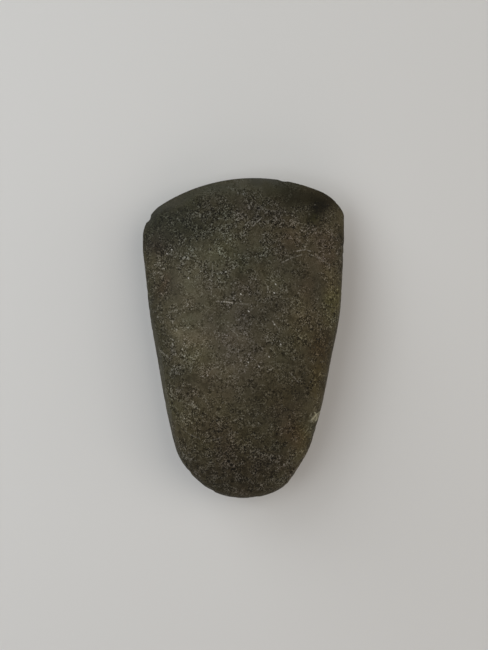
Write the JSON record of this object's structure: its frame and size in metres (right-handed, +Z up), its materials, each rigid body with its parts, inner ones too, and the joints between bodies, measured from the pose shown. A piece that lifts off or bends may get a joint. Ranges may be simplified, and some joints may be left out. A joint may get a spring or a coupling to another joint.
{
  "type": "polished stone axe head",
  "caption": "Polished stone axe head lying on its lower face: a flattened, tapering stone ground to a broad curved cutting edge, with ground facets, small chips and a rounded butt.",
  "frame": {"origin": "on the ground under the middle of the stone's box, with the stone lying on its lower face", "axes": "+Y along the stone towards the cutting edge, +X to the right as the picture shows it, +Z up out of the upper face"},
  "size_m": [0.0818, 0.13, 0.032],
  "materials": {
    "ground_stone": "dark olive-grey stone, ground smooth with a dull sheen, grainier towards the butt"
  },
  "bodies": {
    "root": {"axe_head": "ground_stone"}
  },
  "joints": []
}
